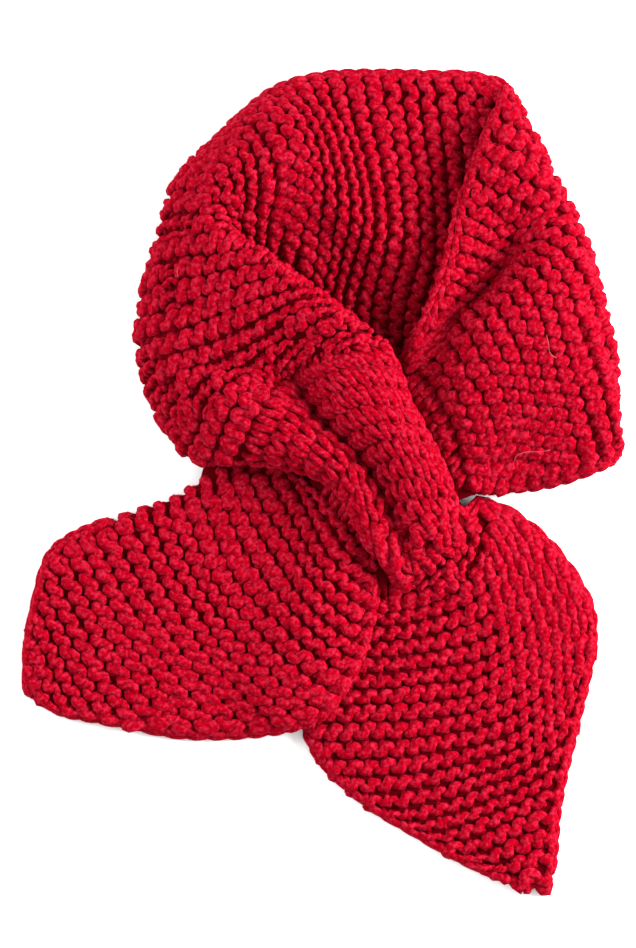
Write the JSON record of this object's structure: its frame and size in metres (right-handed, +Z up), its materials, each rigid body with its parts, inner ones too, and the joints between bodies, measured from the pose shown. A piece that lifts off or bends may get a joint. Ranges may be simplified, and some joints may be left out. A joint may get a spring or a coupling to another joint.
{
  "type": "scarf",
  "caption": "Knitted keyhole scarf with leaf-shaped ends, one end pulled through a ribbed slot, laid flat with folds.",
  "frame": {"origin": "bottom centre of the laid scarf's bounding box, on the surface that it lies on", "axes": "+Z up from the surface, +Y towards the back of the neck, +X towards the right of the laid scarf seen from above with the back of the neck at the top"},
  "size_m": [0.2502, 0.3404, 0.0397],
  "materials": {
    "knit_wool": "matt knitted yarn"
  },
  "bodies": {
    "root": {"tail_right": "knit_wool", "slot_front": "knit_wool", "slot_back": "knit_wool", "neck_left": "knit_wool", "neck_back": "knit_wool", "neck_right": "knit_wool", "slot_pass": "knit_wool", "tail_left": "knit_wool"}
  },
  "joints": []
}
